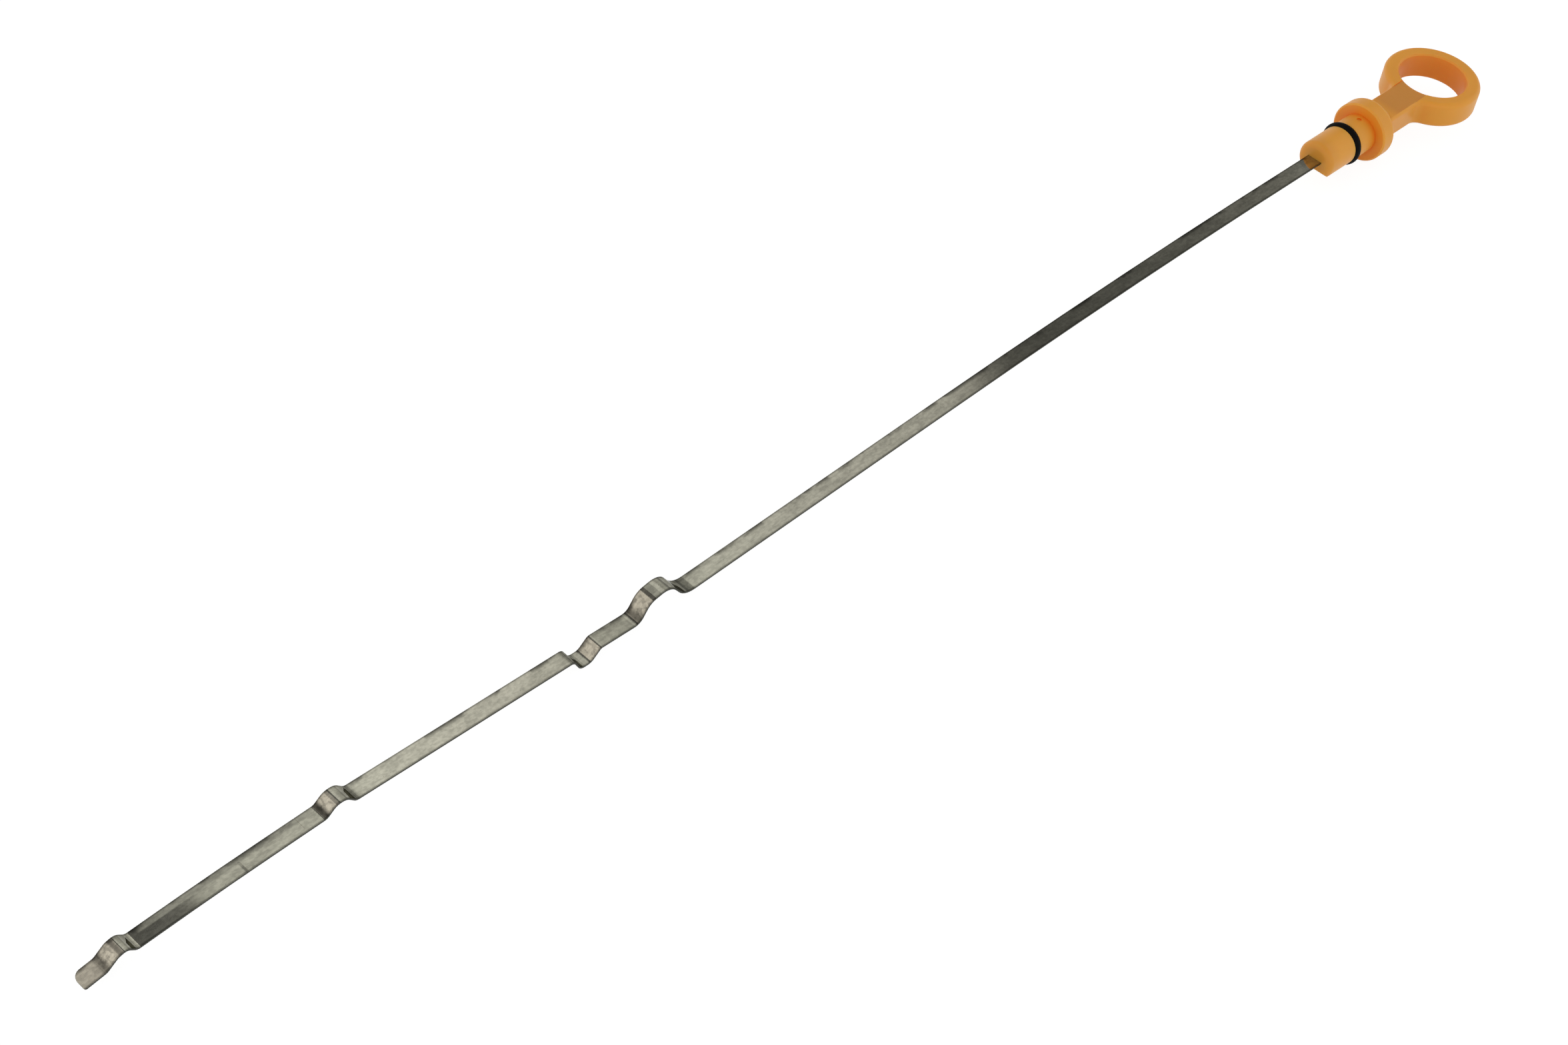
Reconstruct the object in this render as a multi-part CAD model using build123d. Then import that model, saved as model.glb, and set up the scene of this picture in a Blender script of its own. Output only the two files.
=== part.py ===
from build123d import *
import os
from math import atan2, cos, sin

# Engine oil dipstick, lying as it comes to rest: the flange's rim and the lowest bend of the blade touch z = 0.
# X runs along the stick towards the finger ring, Y across the blade, Z up. Millimetres.
# Places along the stick are measured from the plug's nose end, positive towards the ring.

# Finger ring
ring_outer_radius = 15.6
ring_hole_radius = 11.05
ring_height = 8.9
ring_outer_round = 1.5
ring_hole_bevel = 0.5
ring_place = 62.9
gate_flat_depth = 0.25

# Neck between the flange and the ring, with a shallow flat along both faces
neck_width = 10.6
neck_fillet = 4.0
flat_width = 9.6
flat_depth = 0.25

# Flange that stops on the dipstick tube, and its conical back that ends inside the neck
flange_radius = 9.65
flange_place = 23.65
flange_thickness = 5.0
flange_front_bevel = 0.5
flange_back_round = 1.5
cone_length = 8.05
cone_end_radius = 3.0

# Plug that enters the tube
plug_radius = 6.25
nose_round = 2.0
nose_bevel_drop = 2.45
nose_bevel_length = 5.0
dimple_radius = 0.8
dimple_depth = 0.4
dimple_place = 21.3

# Sealing ring in its groove
seal_section = 2.6
seal_proud = 0.75
seal_place = 14.6
groove_side_gap = 0.2
groove_floor_gap = 0.03

# Blade, a flat steel strip
blade_width = 5.0
blade_thickness = 0.5
blade_offset = 0.7
blade_root = 20.0
blade_fit = 0.03
tip_place = -459.3
tip_height = 1.6
tip_far_round = 2.2
tip_near_round = 0.6

# Level marks scribed into the blade's upper face, each from one long edge but not quite to the other
full_mark_place = -397.0
low_mark_place = -414.3
full_mark_length = 4.1
low_mark_length = 3.5
full_mark_width = 0.25
low_mark_width = 0.6
mark_depth = 0.06

# Bends of the blade: place along the stick, height of the strip's middle above the floor, bend radius
half_thickness = blade_thickness / 2
long_bow = (-90.0, 11.4, 2700.0)
upper_joggle = [
    (-273.9, 2.65, 7.0),
    (-279.6, 9.9, 5.5),
    (-286.8, 8.4, 4.5),
    (-289.9, 2.95, 3.0),
    (-303.4, 3.35, 1.5),
    (-306.5, half_thickness, 2.5),
    (-310.0, half_thickness, 2.5),
    (-312.5, 4.4, 2.0),
]
middle_joggle = [
    (-382.3, 6.3, 2.2),
    (-385.3, 9.25, 3.3),
    (-388.4, 9.15, 3.3),
    (-391.2, 6.5, 2.0),
]
tip_bow = (-424.0, 5.46, 800.0)
lower_joggle = [
    (-445.0, 3.92, 2.0),
    (-447.75, 6.22, 2.4),
    (-450.3, 5.45, 2.2),
    (-453.35, 2.7, 2.0),
]
entry_bend_place = -6.0
entry_bend_radius = 300.0

# Values worked out from the sizes above
axis_height = flange_radius
ring_end = ring_place + ring_outer_radius - gate_flat_depth
middle = (ring_end + tip_place) / 2
seal_radius = seal_section / 2
seal_pitch_radius = plug_radius + seal_proud - seal_radius
groove_floor = seal_pitch_radius - seal_radius - groove_floor_gap
groove_start = seal_place - seal_radius - groove_side_gap
groove_end = seal_place + seal_radius + groove_side_gap
flange_back = flange_place + flange_thickness
cone_end = flange_back + cone_length
blade_height = axis_height + blade_offset
plug_axis = Axis((0, 0, axis_height), (1, 0, 0))


def turned_stem():
    """Nose, seal groove, plug, flange and the cone behind it, turned about the plug's axis."""
    profile = [
        (0, 0, 0),
        (0, plug_radius, nose_round),
        (groove_start, plug_radius, 0),
        (groove_start, groove_floor, 0),
        (groove_end, groove_floor, 0),
        (groove_end, plug_radius, 0),
        (flange_place, plug_radius, 0),
        (flange_place, flange_radius - flange_front_bevel, 0),
        (flange_place + flange_front_bevel, flange_radius, 0),
        (flange_back, flange_radius, flange_back_round),
        (cone_end, cone_end_radius, 0),
        (cone_end, 0, 0),
    ]
    corners = [(place, 0, axis_height + radius) for place, radius, _ in profile]
    outline = FilletPolyline(*corners, radius=[rounding for _, _, rounding in profile], close=True)
    return revolve(make_face(outline), plug_axis)


def grip():
    """Neck and finger ring in one outline with soft edges, and the hole for the finger."""
    length = ring_place - flange_back
    outline = Pos(ring_place, 0) * Circle(ring_outer_radius)
    outline += Pos(flange_back + length / 2, 0) * Rectangle(length, neck_width)
    inner_corners = outline.vertices().filter_by(lambda v: flange_back + neck_fillet < v.X < ring_place)
    outline = fillet(inner_corners, neck_fillet)
    body = extrude(Pos(0, 0, axis_height - ring_height / 2) * outline, ring_height)
    body = fillet(body.faces().filter_by(Axis.Z).edges(), ring_outer_round)
    body -= Pos(ring_place, 0, axis_height) * Cylinder(ring_hole_radius, 2 * ring_height)
    lips = body.edges().filter_by(GeomType.CIRCLE).filter_by(lambda e: e.radius == ring_hole_radius)
    return chamfer(lips, ring_hole_bevel)


def grip_cuts():
    """Shallow flats along both faces of the neck as far as the hole, and the moulding gate's flat on the ring."""
    length = ring_place - flange_back
    rise = ring_height / 2 - flat_depth
    flat = Pos(flange_back + length / 2, 0, rise + ring_height / 2) * Box(length, flat_width, ring_height)
    gate = Pos(ring_end + ring_height / 2, 0, 0) * Box(ring_height, 2 * ring_outer_radius, 2 * ring_height)
    return [Pos(0, 0, axis_height) * cut for cut in (flat, mirror(flat, Plane.XY), gate)]


def nose_bevel():
    """Wedge cut from the underside of the nose, so that it enters the tube easily."""
    top = axis_height - nose_bevel_drop
    bottom = axis_height - plug_radius
    corners = [(0, 0, top), (nose_bevel_length, 0, bottom), (0, 0, bottom)]
    return extrude(make_face(Polyline(*corners, close=True)), plug_radius, dir=(0, 1, 0), both=True)


def strip_line():
    """Corners of the strip's middle line and the radius of each bend, from its root to its tip."""
    bends = [(entry_bend_place, blade_height, entry_bend_radius), long_bow]
    bends += upper_joggle + middle_joggle + [tip_bow] + lower_joggle
    points = [(blade_root, blade_height)] + [bend[:2] for bend in bends] + [(tip_place, tip_height)]
    return points, [bend[2] for bend in bends]


def bent_line(rise):
    """Straight runs joined by tangent bends, kept at a distance above (or below) the strip's middle line."""
    points, radii = strip_line()
    climbs = [atan2(q[1] - p[1], p[0] - q[0]) for p, q in zip(points, points[1:])]
    corners = []
    for (x, z), before, after in zip(points, climbs[:1] + climbs, climbs + climbs[-1:]):
        reach = rise / cos((after - before) / 2)
        lean = (after + before) / 2
        corners.append((x + reach * sin(lean), 0, z + reach * cos(lean)))
    turns = [1 if after > before else -1 for before, after in zip(climbs, climbs[1:])]
    return FilletPolyline(*corners, radius=[r - turn * rise for r, turn in zip(radii, turns)])


def layer(low, high):
    """The strip's full width between two distances from its middle line."""
    lines = [bent_line(high), bent_line(low)]
    ends = [Line(lines[0] @ end, lines[1] @ end) for end in (0, 1)]
    return extrude(make_face(lines + ends), blade_width / 2, dir=(0, 1, 0), both=True)


def level_marks():
    """Lines scribed across the upper face, which follow its slope."""
    tall = 4 * blade_height
    full = Pos(full_mark_place, (blade_width - full_mark_length) / 2) * Box(full_mark_width, full_mark_length, tall)
    low = Pos(low_mark_place, (low_mark_length - blade_width) / 2) * Box(low_mark_width, low_mark_length, tall)
    skin = layer(half_thickness - mark_depth, half_thickness + mark_depth)
    return [skin & full, skin & low]


def rounded_tip(strip, which, radius):
    """The strip with one corner of its end rounded: the first across the width, or the last."""
    end_face = strip.faces().sort_by(Axis.X)[0]
    upright = end_face.edges().filter_by(Axis.Y, reverse=True).sort_by(Axis.Y)
    return fillet(upright[which], radius)


def make_blade():
    """The strip with its joggles, rounded tip and level marks."""
    strip = layer(-half_thickness, half_thickness)
    strip = rounded_tip(strip, -1, tip_far_round)
    strip = rounded_tip(strip, 0, tip_near_round)
    return strip - level_marks()


def blade_slot():
    """Room in the plug for the blade's root."""
    reach = blade_root + blade_fit
    slot = Box(reach, blade_width + 2 * blade_fit, blade_thickness + 2 * blade_fit)
    return Pos(reach / 2, 0, blade_height) * slot


def make_handle():
    """Ring, neck, flange and plug, moulded as one piece round the blade's root."""
    dimple = Pos(dimple_place, 0, axis_height + plug_radius) * Cylinder(dimple_radius, 2 * dimple_depth)
    return turned_stem() + (grip() - grip_cuts()) - nose_bevel() - blade_slot() - dimple


def make_seal():
    """Round rubber ring in the plug's groove."""
    section = Plane.XZ * Pos(seal_place, axis_height + seal_pitch_radius) * Circle(seal_radius)
    return revolve(section, plug_axis)


os.makedirs("parts", exist_ok=True)
for name, shape in (("handle", make_handle()), ("o_ring", make_seal()), ("blade", make_blade())):
    export_step(Pos(-middle, 0, 0) * shape, f"parts/{name}.step")
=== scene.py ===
from math import pi, radians
from typing import NamedTuple

import bpy
from bpy.props import FloatProperty, FloatVectorProperty, PointerProperty
from mathutils import Matrix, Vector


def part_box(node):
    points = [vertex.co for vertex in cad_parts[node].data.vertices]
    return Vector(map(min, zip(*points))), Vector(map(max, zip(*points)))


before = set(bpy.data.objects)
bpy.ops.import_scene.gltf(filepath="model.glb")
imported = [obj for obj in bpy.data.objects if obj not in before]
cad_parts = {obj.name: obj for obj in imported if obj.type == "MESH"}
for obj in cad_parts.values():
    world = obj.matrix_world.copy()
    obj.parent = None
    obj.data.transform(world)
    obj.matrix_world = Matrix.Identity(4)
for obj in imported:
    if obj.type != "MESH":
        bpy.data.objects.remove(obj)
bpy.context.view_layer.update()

bl_info = {
    "name": "Engine oil dipstick",
    "version": (1, 0, 0),
    "blender": (4, 5, 0),
    "location": "3D View > Sidebar > Dipstick",
    "description": "Finishes a dipstick's handle, sealing ring and blade, and sets its studio",
    "category": "Object",
}

# Places on the handle: the end of its nose, the plug's axis, and the blade's slot a little above that axis
HANDLE_LOW, HANDLE_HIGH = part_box("handle")
NOSE_END = HANDLE_LOW.x
AXIS_HEIGHT = (HANDLE_LOW.z + HANDLE_HIGH.z) / 2
SLOT_RISE = 0.0007

# Flats of the neck, which get a painted shade: how far off their level a face may be, in metres, and how
# upright its normal has to be
FLAT_TOLERANCE = (0.00008, 0.00015)
FLAT_NORMAL = (0.9, 0.97)

# Flow marks in the plastic and the rubber's skin: features for each metre along X, Y and Z, the shade of a
# flow mark, and the levels of noise at which both start and are full
FLOW_GRAIN = (60, 90, 60)
FLOW_SHADE = 0.95
SKIN_GRAIN = (900, 900, 900)
MIDDLE_NOISE = (0.3, 0.7)

# Share of open air round a point at which the painted shade in corners is full, and at which the plastic is
# plain
OPEN_AIR = (0.4, 0.95)


class Pattern(NamedTuple):
    """Noise that lightens or darkens the steel.

    Its grain is in features for each metre along X, Y and Z. It starts and is full at these levels of the
    noise, and adds or takes this share of light.
    """
    grain: tuple
    detail: float
    start: float
    full: float
    share: float


class BendShade(NamedTuple):
    """A painted shade across the blade at a bend, in metres along X, and the share of light that it takes."""
    place: float
    half_width: float
    share: float


class Patch(NamedTuple):
    """A soft sheet of light on the tent's far side.

    The lean of its middle from the upright, half the width over which it is full and half the width at which
    it ends are in degrees. It starts and is full at these values of the direction's Y.
    """
    lean: float
    half_width: float
    half_end: float
    start: float
    full: float
    colour: tuple


# What the rolled faces show: an even ground, lines and clouding that add light, and wear that takes it, with
# painted shade at the bends and on the humps' backs.
# LINES_ALONG is how often a rolling line changes for each metre, SOFT_SIDE the share of a line that is soft.
GROUND_LIGHT = 0.67
LINE_LIGHT = 0.2
LINES_ALONG = 40
CLOUDING = Pattern((160, 420, 160), 4, 0.3, 0.7, 0.24)
MOTTLE = Pattern((800, 1300, 800), 3, 0.35, 0.65, 0.22)
SPECKS = Pattern((1400, 1400, 1400), 2, 0.69, 0.75, 0.3)
SCRATCHES = Pattern((150, 7000, 150), 1, 0.7, 0.76, 0.25)
STAINS = Pattern((140, 260, 140), 4, 0.46, 0.6, 0.6)
RUBBING = Pattern((1000, 600, 1000), 3, 0.45, 0.62, 0.35)
EDGE_LINE_SHARE = 0.55
LOW_MARK_SHARE = 0.5
LOW_MARK_HALF_WIDTH = 0.0003
# Share of light taken on the humps' backs, a painted shade that dims what they mirror
HUMP_BACK_REFLECTION_SHADE = 0.4
DULL_BAND_SHARE = 0.2
BRIGHT_RUN_GAIN = 1.25
SOFT_SIDE = 0.7
# Painted shade across the strip at its bends: place, half width and share of light taken
BEND_SHADES = (
    BendShade(-0.0822, 0.0016, 0.45),
    BendShade(-0.0993, 0.0008, 0.65),
    BendShade(-0.1226, 0.0007, 0.4),
    BendShade(-0.1915, 0.0008, 0.5),
    BendShade(-0.2005, 0.0007, 0.85),
    BendShade(-0.2588, 0.0006, 0.5),
    BendShade(-0.2626, 0.0008, 0.65),
)

# Where zones of the blade begin and end across its width, in metres from its middle line towards the far edge
STAIN_ZONE = (0.0009, 0.0021)
DULL_ZONE = (0.0004, 0.0011)
EDGE_LINE_ZONE = (0.0019, 0.0024)
LOW_MARK_ZONE = (-0.001, 0.0018)

# Parts of the normal at which faces begin and end to count as slit edges, humps' backs, which get a painted
# shade, and their steep fronts
SLIT_EDGE_NORMAL = (0.3, 0.8)
HUMP_BACK_NORMAL = (0.2, 0.45)
STEEP_FRONT_NORMAL = (-0.55, -0.3)

# Roughness of the rolled faces, and what the slit edges and the dull band add to it
FACE_ROUGHNESS = 0.075
SLIT_EDGE_ROUGHNESS = 0.35
DULL_BAND_ROUGHNESS = 0.17

# Far side of the light tent from left to right: lean from the upright in degrees, and the light there
TENT_REACH = 60
WARM_PANEL = (0.95, 0.88, 0.82)
TENT_STOPS = (
    (-TENT_REACH, WARM_PANEL),
    (-17, WARM_PANEL),
    (-12, (0.11, 0.11, 0.11)),
    (14.8, (0.095, 0.095, 0.095)),
    (16.2, (0.12, 0.12, 0.12)),
    (17.2, (0.25, 0.25, 0.24)),
    (18.1, (0.53, 0.53, 0.5)),
    (19.4, (0.76, 0.76, 0.72)),
    (31.2, (0.8, 0.8, 0.76)),
    (34.5, (0.72, 0.71, 0.68)),
    (38.2, (0.66, 0.65, 0.62)),
    (39.1, (0.41, 0.4, 0.38)),
    (39.8, (0.08, 0.08, 0.078)),
    (41.6, (0.095, 0.095, 0.092)),
    (49.0, (0.185, 0.185, 0.178)),
    (53.0, (0.3, 0.295, 0.28)),
    (TENT_REACH, (0.34, 0.34, 0.33)),
)

# Patches of light that the tip, the upper joggle's top and the joggles' backs mirror, in this order
PATCHES = (
    Patch(-90, 98, 101, 0.478, 0.486, (1.12, 1.04, 0.98)),
    Patch(15, 7, 9, 0.456, 0.449, (0.75, 0.75, 0.71)),
    Patch(50, 12, 15, 0.431, 0.437, (0.62, 0.62, 0.58)),
    Patch(72, 12, 15, 0.458, 0.468, (0.66, 0.66, 0.62)),
)

# Where the tent's far side begins, by the direction's Y, its top and the panels over the white horizon, by Z,
# and the warm panel's side, by X, which has no white horizon
FAR_SIDE = (0.05, 0.25)
TENT_TOP = (0.5, 0.85)
WHITE_HORIZON = (0.1, 0.22)
WARM_SIDE = (-0.5, -0.3)


class HandleFinish(bpy.types.PropertyGroup):
    """Moulded amber plastic"""
    colour: FloatVectorProperty(
        name="Amber", description="Colour of the plastic in even light",
        subtype="COLOR", min=0, max=1, default=(0.76, 0.335, 0.034))
    # Painted shade on the neck's flat faces: a browner, darker colour than the plastic's own
    flat_shade_colour: FloatVectorProperty(
        name="Web", description="Browner tone of the flat web between flange and ring",
        subtype="COLOR", min=0, max=1, default=(0.6, 0.25, 0.036))
    # Painted shade in corners and in the hole, deeper and redder where the walls close in
    corner_shade_colour: FloatVectorProperty(
        name="Corners", description="Deeper tone of corners and of the hole, where light is kept in",
        subtype="COLOR", min=0, max=1, default=(0.8, 0.19, 0.006))
    # Painted shade round the slot that the blade leaves the nose by, darkest next to the blade: its colour,
    # its share, and the distances at which it is full and at which it ends
    slot_shade_colour: FloatVectorProperty(
        name="Smudge", description="Oily tone round the slot that the blade leaves the nose by",
        subtype="COLOR", min=0, max=1, default=(0.34, 0.14, 0.02))
    slot_shade_share: FloatProperty(
        name="Smudge share", description="Share of the oily tone beside the blade",
        subtype="FACTOR", min=0, max=1, default=0.42)
    slot_shade_start: FloatProperty(
        name="Smudge start", description="Distance from the slot's middle up to which the smudge is full",
        unit="LENGTH", min=0, default=0.0022)
    slot_shade_end: FloatProperty(
        name="Smudge end", description="Distance from the slot's middle at which the smudge ends",
        unit="LENGTH", min=0, default=0.009)
    slot_place: FloatVectorProperty(
        name="Slot", description="Middle of the slot that the blade leaves the nose by",
        subtype="TRANSLATION", unit="LENGTH", default=(NOSE_END, 0.0, AXIS_HEIGHT + SLOT_RISE))
    # How far the painted corner shade reaches
    corner_reach: FloatProperty(
        name="Corner reach", description="How far away a wall still deepens the colour",
        unit="LENGTH", min=0, default=0.025)
    flat_level: FloatProperty(
        name="Flat level", description="Distance of the neck's flats from the plug's axis",
        unit="LENGTH", min=0, default=0.0042)
    flat_start: FloatProperty(
        name="Flat start", description="Place behind the flange where the flats' browner tone starts",
        unit="LENGTH", default=0.2245)
    flat_full: FloatProperty(
        name="Flat full", description="Place on the neck from which that tone is full",
        unit="LENGTH", default=0.2295)
    glow_depth: FloatProperty(
        name="Glow depth", description="How far red light travels inside the plastic",
        unit="LENGTH", min=0, default=0.004)
    grain_size: FloatProperty(
        name="Grain size", description="Size of the grain that the mould's walls leave",
        unit="LENGTH", min=0.00001, default=0.0004)
    grain_height: FloatProperty(
        name="Grain height", description="Height of the grain that the mould's walls leave",
        unit="LENGTH", min=0, default=0.00002)


class SealFinish(bpy.types.PropertyGroup):
    """Black sealing ring"""
    colour: FloatVectorProperty(
        name="Rubber", description="Colour of the rubber",
        subtype="COLOR", min=0, max=1, default=(0.002, 0.0017, 0.0015))
    skin_height: FloatProperty(
        name="Skin height", description="Height of the rubber's uneven skin",
        unit="LENGTH", min=0, default=0.00003)


class BladeFinish(bpy.types.PropertyGroup):
    """Cold rolled steel strip"""
    colour: FloatVectorProperty(
        name="Steel", description="Colour of the rolled faces",
        subtype="COLOR", min=0, max=1, default=(0.47, 0.46, 0.39))
    edge_colour: FloatVectorProperty(
        name="Slit edge", description="Colour of the sheared edges",
        subtype="COLOR", min=0, max=1, default=(0.09, 0.09, 0.08))
    grazing_tint: FloatVectorProperty(
        name="Grazing tint", description="Tint of what the faces mirror at grazing angles",
        subtype="COLOR", min=0, max=1, default=(0.5, 0.5, 0.47))
    line_spacing: FloatProperty(
        name="Rolling lines", description="Distance between the rolling lines along the strip",
        unit="LENGTH", min=0.00001, default=0.00025)
    line_height: FloatProperty(
        name="Line height", description="Height of the rolling lines", unit="LENGTH", min=0, default=0.000002)
    bright_place: FloatProperty(
        name="Bright run", description="Middle of the brighter run below the upper joggle",
        unit="LENGTH", default=-0.1565)
    bright_half: FloatProperty(
        name="Bright half", description="Half the length over which that run is fully bright",
        unit="LENGTH", min=0, default=0.028)
    bright_end: FloatProperty(
        name="Bright end", description="Half the length at which that run ends",
        unit="LENGTH", min=0, default=0.04)
    dull_place: FloatProperty(
        name="Dull band", description="Middle of the duller band along the run with the level marks",
        unit="LENGTH", default=-0.2265)
    dull_half: FloatProperty(
        name="Dull half", description="Half the length over which that band is fully dull",
        unit="LENGTH", min=0, default=0.023)
    dull_end: FloatProperty(
        name="Dull end", description="Half the length at which that band ends",
        unit="LENGTH", min=0, default=0.026)
    low_mark_place: FloatProperty(
        name="Low mark", description="Place of the low level mark", unit="LENGTH", default=-0.223775)


class StudioSettings(bpy.types.PropertyGroup):
    """Floor, light and camera"""
    floor_radius: FloatProperty(
        name="Floor radius", description="Radius of the pale floor", unit="LENGTH", default=30.0)
    floor_white: FloatProperty(
        name="Floor white", description="Share of plain white in the floor's look, the rest shows shadows",
        subtype="FACTOR", min=0, max=1, default=0.82)
    floor_glow: FloatProperty(
        name="Floor glow", description="Strength of that white, which makes up for the darker paint",
        min=0, default=1.11)
    wall_light: FloatProperty(
        name="Wall light", description="Light of the tent's walls", min=0, default=1.04)
    top_light: FloatProperty(
        name="Top light", description="Light of the tent's top", min=0, default=0.58)
    view_point: FloatVectorProperty(
        name="View point", description="Point that the camera looks at", subtype="TRANSLATION",
        unit="LENGTH", default=(-0.04733, -0.00254, 0.006))
    view_distance: FloatProperty(
        name="Distance", description="From the camera to the view point", unit="LENGTH", default=0.7618)
    view_azimuth: FloatProperty(
        name="Azimuth", description="Turn of the view about the upright, 0 looks along Y",
        subtype="ANGLE", default=radians(-53.07))
    view_elevation: FloatProperty(
        name="Elevation", description="Height of the view above the floor", subtype="ANGLE",
        default=radians(44.85))
    view_roll: FloatProperty(
        name="Roll", description="Tilt of the camera about its own axis", subtype="ANGLE",
        default=radians(10.07))
    focal_length: FloatProperty(
        name="Focal length", description="Focal length in millimetres on a 36 mm sensor", default=66.88)


class DipstickSettings(bpy.types.PropertyGroup):
    """All the sizes and colours of the dipstick's looks"""
    handle: PointerProperty(type=HandleFinish)
    seal: PointerProperty(type=SealFinish)
    blade: PointerProperty(type=BladeFinish)
    studio: PointerProperty(type=StudioSettings)


class Nodes:
    """Short way to add and join nodes in one node tree."""

    def __init__(self, tree):
        self.tree = tree
        self.tree.nodes.clear()

    def add(self, kind, inputs=None, **settings):
        """A new node with its settings and the values of, or links to, its inputs."""
        node = self.tree.nodes.new(kind)
        for name, value in settings.items():
            setattr(node, name, value)
        for name, value in (inputs or {}).items():
            if isinstance(value, bpy.types.NodeSocket):
                self.tree.links.new(value, node.inputs[name])
            else:
                node.inputs[name].default_value = value
        return node

    def math(self, operation, first, second=0.0, third=0.0):
        """Result of one sum."""
        inputs = {0: first, 1: second, 2: third}
        return self.add("ShaderNodeMath", inputs, operation=operation).outputs[0]

    def both(self, first, second):
        """1 where both masks are 1."""
        return self.math("MULTIPLY", first, second)

    def apart(self, first, second):
        """How far two values are apart."""
        return self.math("ABSOLUTE", self.math("SUBTRACT", first, second))

    def ramp(self, value, low, high, start=0.0, end=1.0, how="SMOOTHSTEP"):
        """Value between low and high turned into start to end."""
        inputs = {"Value": value, "From Min": low, "From Max": high, "To Min": start, "To Max": end}
        return self.add("ShaderNodeMapRange", inputs, interpolation_type=how).outputs[0]

    def fade(self, value, low, high):
        """1 up to low, which fades to 0 at high."""
        return self.ramp(value, low, high, 1.0, 0.0)

    def mix(self, share, first, second, blend="MIX"):
        """Colour between two colours, or blended in another way."""
        inputs = {0: share, 6: first, 7: second}
        return self.add("ShaderNodeMix", inputs, data_type="RGBA", blend_type=blend).outputs[2]

    def split(self, vector):
        """X, Y and Z of a vector."""
        return self.add("ShaderNodeSeparateXYZ", {0: vector}).outputs

    def place(self):
        """Place on the piece, in metres."""
        return self.add("ShaderNodeTexCoord").outputs["Object"]

    def normal(self):
        """X, Y and Z of the direction that the surface faces."""
        return self.split(self.add("ShaderNodeNewGeometry").outputs["Normal"])

    def noise(self, place, grain, detail=2.0):
        """Noise at a place, with a grain in features for each metre along X, Y and Z."""
        scaled = self.add("ShaderNodeMapping", {"Vector": place, "Scale": grain}).outputs[0]
        inputs = {"Vector": scaled, "Scale": 1.0, "Detail": detail}
        return self.add("ShaderNodeTexNoise", inputs).outputs[0]

    def bump(self, height, distance, strength):
        """Normal of a surface that rises by a distance where the height is 1."""
        inputs = {"Height": height, "Distance": distance, "Strength": strength}
        return self.add("ShaderNodeBump", inputs).outputs[0]


def new_material(name):
    """An empty node material and its nodes."""
    material = bpy.data.materials.new(name)
    material.use_nodes = True
    return material, Nodes(material.node_tree)


def with_alpha(colour):
    """A colour of three numbers as four."""
    return (*colour, 1.0)


def dress(node_name, material):
    """Puts a finish on a node of the frame."""
    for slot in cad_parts[node_name].material_slots:
        slot.material = material


def neck_flats(nodes, place, settings):
    """1 on the flats of the neck, where the shade is painted, 0 elsewhere."""
    along, _, height = nodes.split(place)
    level = nodes.apart(height, AXIS_HEIGHT)
    on_level = nodes.fade(nodes.apart(level, settings.flat_level), *FLAT_TOLERANCE)
    level_face = nodes.ramp(nodes.math("ABSOLUTE", nodes.normal()["Z"]), *FLAT_NORMAL)
    on_neck = nodes.ramp(along, settings.flat_start, settings.flat_full)
    return nodes.both(nodes.both(on_level, level_face), on_neck)


def amber_plastic(settings):
    """Satin amber plastic that light enters, with painted shade in corners and the hole, on the neck's flats
    and round the blade's slot.
    """
    material, nodes = new_material("amber_plastic")
    place = nodes.place()
    flow = nodes.ramp(nodes.noise(place, FLOW_GRAIN, detail=3), *MIDDLE_NOISE)
    flow_colour = [FLOW_SHADE * part for part in settings.colour]
    colour = nodes.mix(flow, with_alpha(flow_colour), with_alpha(settings.colour))
    # Painted shade on the neck's flats
    colour = nodes.mix(neck_flats(nodes, place, settings), colour, with_alpha(settings.flat_shade_colour))
    # Painted shade round the blade's slot on the nose
    from_slot = nodes.add("ShaderNodeVectorMath", {0: place, 1: settings.slot_place}, operation="DISTANCE")
    slot_shade = nodes.ramp(from_slot.outputs["Value"], settings.slot_shade_start, settings.slot_shade_end,
                        start=settings.slot_shade_share, end=0.0)
    colour = nodes.mix(slot_shade, colour, with_alpha(settings.slot_shade_colour))
    # Painted shade in corners and the hole, from how much open air there is round each point
    corners = nodes.add("ShaderNodeAmbientOcclusion", {"Distance": settings.corner_reach},
                        samples=8, only_local=True)
    open_air = nodes.ramp(corners.outputs["AO"], *OPEN_AIR)
    colour = nodes.mix(open_air, with_alpha(settings.corner_shade_colour), colour)
    grain = nodes.noise(place, [1 / settings.grain_size] * 3)
    shader = nodes.add("ShaderNodeBsdfPrincipled", {
        "Base Color": colour,
        "Roughness": 0.42,
        "Specular IOR Level": 0.35,
        "Subsurface Weight": 0.35,
        "Subsurface Scale": settings.glow_depth,
        "Subsurface Radius": (1.0, 0.4, 0.08),
        "Normal": nodes.bump(grain, settings.grain_height, strength=0.3),
    })
    nodes.add("ShaderNodeOutputMaterial", {0: shader.outputs[0]})
    return material


def black_rubber(settings):
    """Smooth black rubber with a slight sheen."""
    material, nodes = new_material("black_rubber")
    skin = nodes.noise(nodes.place(), SKIN_GRAIN, detail=3)
    shader = nodes.add("ShaderNodeBsdfPrincipled", {
        "Base Color": with_alpha(settings.colour),
        "Roughness": nodes.ramp(skin, *MIDDLE_NOISE, start=0.45, end=0.6),
        "Specular IOR Level": 0.07,
        "Normal": nodes.bump(skin, settings.skin_height, strength=0.3),
    })
    nodes.add("ShaderNodeOutputMaterial", {0: shader.outputs[0]})
    return material


def darker(nodes, tone, mask, share):
    """A tone that loses a share of its light where the mask is 1."""
    return nodes.math("MULTIPLY", tone, nodes.math("MULTIPLY_ADD", mask, -share, 1.0))


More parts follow.
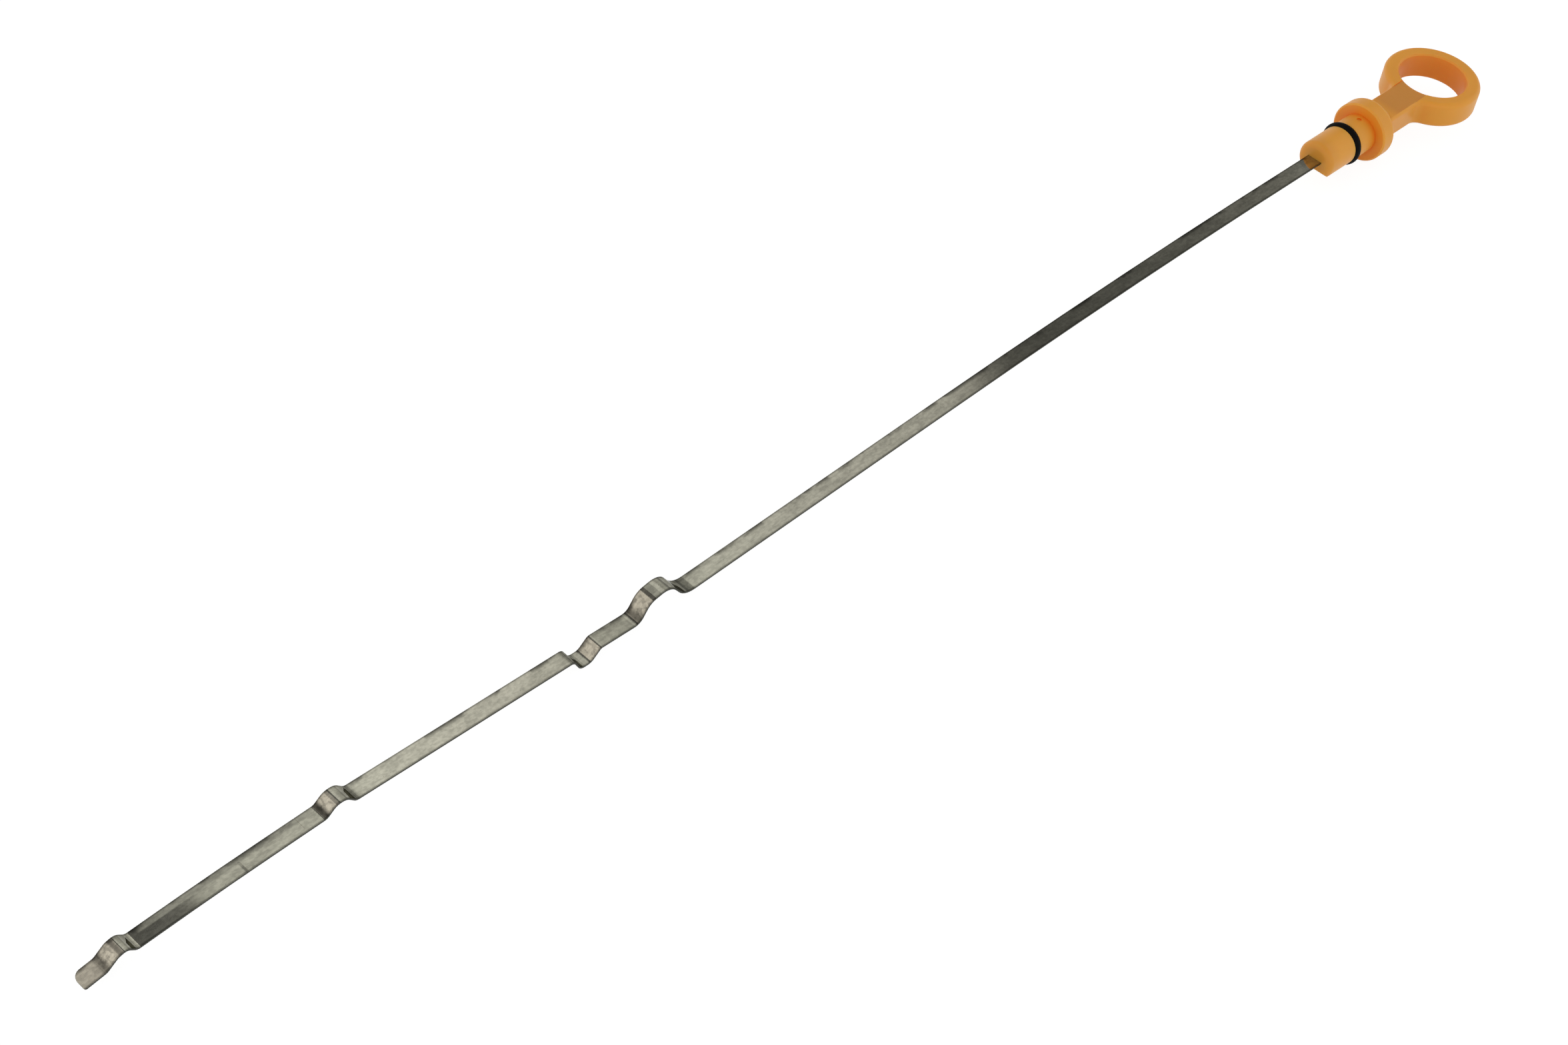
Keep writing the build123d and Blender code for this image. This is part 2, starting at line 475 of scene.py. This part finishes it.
def across_line(nodes, along, place, half_width):
    """1 on a line across the strip, with soft sides."""
    soft = SOFT_SIDE * half_width
    return nodes.fade(nodes.apart(along, place), half_width - soft, half_width + soft)


def pattern_mask(nodes, place, pattern):
    """1 where a pattern's noise is high, 0 where it is low."""
    return nodes.ramp(nodes.noise(place, pattern.grain, pattern.detail), pattern.start, pattern.full)


def rolled_tone(nodes, place, lines, along, settings):
    """Light and dark of the clean faces: rolling lines and clouding, and the brighter run."""
    tone = nodes.math("MULTIPLY_ADD", lines, LINE_LIGHT, GROUND_LIGHT)
    for pattern in (CLOUDING, MOTTLE):
        tone = nodes.math("MULTIPLY_ADD", pattern_mask(nodes, place, pattern), pattern.share, tone)
    from_bright = nodes.apart(along, settings.bright_place)
    gain = nodes.ramp(from_bright, settings.bright_half, settings.bright_end, start=BRIGHT_RUN_GAIN)
    return nodes.math("MULTIPLY", tone, gain)


def worn_and_shaded_tone(nodes, tone, place, along, across, settings):
    """The faces' tone with specks, scratches, stains, dark lines by both edges, painted shade at the bends
    and the low mark.
    """
    for pattern in (SPECKS, SCRATCHES):
        tone = darker(nodes, tone, pattern_mask(nodes, place, pattern), pattern.share)
    stained = nodes.both(pattern_mask(nodes, place, STAINS), nodes.ramp(across, *STAIN_ZONE))
    tone = darker(nodes, tone, stained, STAINS.share)
    by_edge = nodes.ramp(nodes.math("ABSOLUTE", across), *EDGE_LINE_ZONE)
    tone = darker(nodes, tone, by_edge, EDGE_LINE_SHARE)
    # Painted shade at the bends
    for bend_shade in BEND_SHADES:
        tone = darker(nodes, tone, across_line(nodes, along, bend_shade.place, bend_shade.half_width), bend_shade.share)
    mark = across_line(nodes, along, settings.low_mark_place, LOW_MARK_HALF_WIDTH)
    return darker(nodes, tone, nodes.both(mark, nodes.fade(across, *LOW_MARK_ZONE)), LOW_MARK_SHARE)


def rolled_steel(settings):
    """Bright rolled faces with lines along the strip, worn and stained, with painted shade at the bends and
    on the humps' backs, and dark slit edges.
    """
    material, nodes = new_material("rolled_steel")
    place = nodes.place()
    along, across, _ = nodes.split(place)
    facing = nodes.normal()
    lines = nodes.noise(place, (LINES_ALONG, 1 / settings.line_spacing, LINES_ALONG), detail=3)
    tone = rolled_tone(nodes, place, lines, along, settings)
    tone = worn_and_shaded_tone(nodes, tone, place, along, across, settings)
    # Painted shade on the humps' backs, which face along X, dimming what they mirror
    tone = darker(nodes, tone, nodes.ramp(facing["X"], *HUMP_BACK_NORMAL), HUMP_BACK_REFLECTION_SHADE)
    rubbed = nodes.both(pattern_mask(nodes, place, RUBBING), nodes.fade(facing["X"], *STEEP_FRONT_NORMAL))
    tone = darker(nodes, tone, rubbed, RUBBING.share)
    from_dull = nodes.apart(along, settings.dull_place)
    dull = nodes.both(nodes.fade(from_dull, settings.dull_half, settings.dull_end),
                      nodes.ramp(across, *DULL_ZONE))
    tone = darker(nodes, tone, dull, DULL_BAND_SHARE)
    face_colour = nodes.mix(1.0, with_alpha(settings.colour), tone, "MULTIPLY")
    slit = nodes.ramp(nodes.math("ABSOLUTE", facing["Y"]), *SLIT_EDGE_NORMAL)
    roughness = nodes.math("MULTIPLY_ADD", slit, SLIT_EDGE_ROUGHNESS, FACE_ROUGHNESS)
    shader = nodes.add("ShaderNodeBsdfPrincipled", {
        "Base Color": nodes.mix(slit, face_colour, with_alpha(settings.edge_colour)),
        "Metallic": 1.0,
        "Specular Tint": with_alpha(settings.grazing_tint),
        "Roughness": nodes.math("MULTIPLY_ADD", dull, DULL_BAND_ROUGHNESS, roughness),
        "Anisotropic": 0.95,
        "Tangent": nodes.add("ShaderNodeCombineXYZ", {"Y": 1.0}).outputs[0],
        "Normal": nodes.bump(lines, settings.line_height, strength=0.25),
    })
    nodes.add("ShaderNodeOutputMaterial", {0: shader.outputs[0]})
    return material


def pale_floor(settings):
    """White floor that keeps the object's soft shadow."""
    material, nodes = new_material("pale_floor")
    seen = nodes.add("ShaderNodeLightPath").outputs
    direct = nodes.math("MAXIMUM", seen["Is Camera Ray"], seen["Is Glossy Ray"])
    direct = nodes.math("MAXIMUM", direct, seen["Is Transmission Ray"])
    share = nodes.math("MULTIPLY", direct, settings.floor_white)
    paint = nodes.add("ShaderNodeBsdfDiffuse", {"Color": (0.9, 0.9, 0.9, 1)})
    white = nodes.add("ShaderNodeEmission", {"Color": (1, 1, 1, 1), "Strength": settings.floor_glow})
    mixed = nodes.add("ShaderNodeMixShader", {0: share, 1: paint.outputs[0], 2: white.outputs[0]})
    nodes.add("ShaderNodeOutputMaterial", {0: mixed.outputs[0]})
    return material


def tent_panels(nodes, lean):
    """Light of the tent's panels and of the dark gaps between them."""
    across = nodes.ramp(lean, -radians(TENT_REACH), radians(TENT_REACH), how="LINEAR")
    panels = nodes.add("ShaderNodeValToRGB", {0: across})
    elements = panels.color_ramp.elements
    while len(elements) < len(TENT_STOPS):
        elements.new(0.5)
    for element, (degrees, colour) in zip(elements, TENT_STOPS):
        element.position = (degrees + TENT_REACH) / (2 * TENT_REACH)
        element.color = with_alpha(colour)
    return panels.outputs[0]


def with_patch(nodes, light, lean, depth, patch):
    """The light with one patch over it."""
    from_middle = nodes.apart(lean, radians(patch.lean))
    beside = nodes.fade(from_middle, radians(patch.half_width), radians(patch.half_end))
    share = nodes.both(nodes.ramp(depth, patch.start, patch.full), beside)
    return nodes.mix(share, light, with_alpha(patch.colour))


def tent_light(world, settings):
    """Light tent: white walls, a dimmer top, and a far side of panels and dark gaps over a white horizon."""
    world.use_nodes = True
    nodes = Nodes(world.node_tree)
    side, depth, height = nodes.split(nodes.add("ShaderNodeTexCoord").outputs["Generated"])
    lean = nodes.math("ARCTAN2", side, height)
    far_side = tent_panels(nodes, lean)
    for patch in PATCHES:
        far_side = with_patch(nodes, far_side, lean, depth, patch)
    wall, top = (with_alpha([light] * 3) for light in (settings.wall_light, settings.top_light))
    round_about = nodes.mix(nodes.ramp(height, *TENT_TOP), wall, top)
    above = nodes.math("MAXIMUM", nodes.ramp(height, *WHITE_HORIZON), nodes.fade(side, *WARM_SIDE))
    behind = nodes.both(nodes.ramp(depth, *FAR_SIDE), above)
    light = nodes.mix(behind, round_about, far_side)
    background = nodes.add("ShaderNodeBackground", {"Color": light, "Strength": 1.0})
    nodes.add("ShaderNodeOutputWorld", {0: background.outputs[0]})


def add_camera(settings):
    """Camera that looks down on the stick, at the angle of the view."""
    data = bpy.data.cameras.new("camera")
    data.sensor_width = 36.0
    data.lens = settings.focal_length
    camera = bpy.data.objects.new("camera", data)
    bpy.context.scene.collection.objects.link(camera)
    turn = Matrix.Rotation(settings.view_azimuth, 4, "Z")
    tilt = Matrix.Rotation(pi / 2 - settings.view_elevation, 4, "X")
    roll = Matrix.Rotation(settings.view_roll, 4, "Z")
    back = Matrix.Translation((0, 0, settings.view_distance))
    camera.matrix_world = Matrix.Translation(settings.view_point) @ turn @ tilt @ roll @ back
    bpy.context.scene.camera = camera


class DIPSTICK_OT_finish_handle(bpy.types.Operator):
    """Gives the moulded handle its amber plastic"""
    bl_idname = "dipstick.finish_handle"
    bl_label = "Finish handle"

    def execute(self, context):
        dress("handle", amber_plastic(context.scene.dipstick.handle))
        return {"FINISHED"}


class DIPSTICK_OT_finish_seal(bpy.types.Operator):
    """Gives the sealing ring its black rubber"""
    bl_idname = "dipstick.finish_seal"
    bl_label = "Finish sealing ring"

    def execute(self, context):
        dress("o_ring", black_rubber(context.scene.dipstick.seal))
        return {"FINISHED"}


class DIPSTICK_OT_finish_blade(bpy.types.Operator):
    """Gives the blade its rolled steel"""
    bl_idname = "dipstick.finish_blade"
    bl_label = "Finish blade"

    def execute(self, context):
        dress("blade", rolled_steel(context.scene.dipstick.blade))
        return {"FINISHED"}


class DIPSTICK_OT_build_stage(bpy.types.Operator):
    """Adds the pale floor, the light tent and the camera"""
    bl_idname = "dipstick.build_stage"
    bl_label = "Build stage"

    def execute(self, context):
        studio = context.scene.dipstick.studio
        bpy.ops.object.select_all(action="DESELECT")
        bpy.ops.mesh.primitive_circle_add(vertices=64, radius=studio.floor_radius, fill_type="NGON")
        floor = context.active_object
        floor.name = "floor"
        floor.data.materials.append(pale_floor(studio))
        world = bpy.data.worlds.new("studio")
        context.scene.world = world
        tent_light(world, studio)
        add_camera(studio)
        context.scene.view_settings.view_transform = "Standard"
        return {"FINISHED"}


class VIEW3D_PT_dipstick(bpy.types.Panel):
    """Lists the steps and their settings"""
    bl_label = "Dipstick"
    bl_space_type = "VIEW_3D"
    bl_region_type = "UI"
    bl_category = "Dipstick"

    def draw(self, context):
        for step, settings in STEPS:
            box = self.layout.box()
            box.operator(step.bl_idname)
            group = getattr(context.scene.dipstick, settings)
            for name in group.bl_rna.properties.keys():
                if name not in ("rna_type", "name"):
                    box.prop(group, name)


STEPS = (
    (DIPSTICK_OT_finish_handle, "handle"),
    (DIPSTICK_OT_finish_seal, "seal"),
    (DIPSTICK_OT_finish_blade, "blade"),
    (DIPSTICK_OT_build_stage, "studio"),
)
CLASSES = (HandleFinish, SealFinish, BladeFinish, StudioSettings, DipstickSettings,
           *(step for step, _ in STEPS), VIEW3D_PT_dipstick)


def register():
    """Adds the classes and the settings to Blender."""
    for item in CLASSES:
        bpy.utils.register_class(item)
    bpy.types.Scene.dipstick = PointerProperty(type=DipstickSettings)


def unregister():
    """Takes the settings and the classes out again."""
    del bpy.types.Scene.dipstick
    for item in reversed(CLASSES):
        bpy.utils.unregister_class(item)


def main():
    """Runs every step in order."""
    register()
    bpy.ops.dipstick.finish_handle()
    bpy.ops.dipstick.finish_seal()
    bpy.ops.dipstick.finish_blade()
    bpy.ops.dipstick.build_stage()


if __name__ == "__main__":
    main()
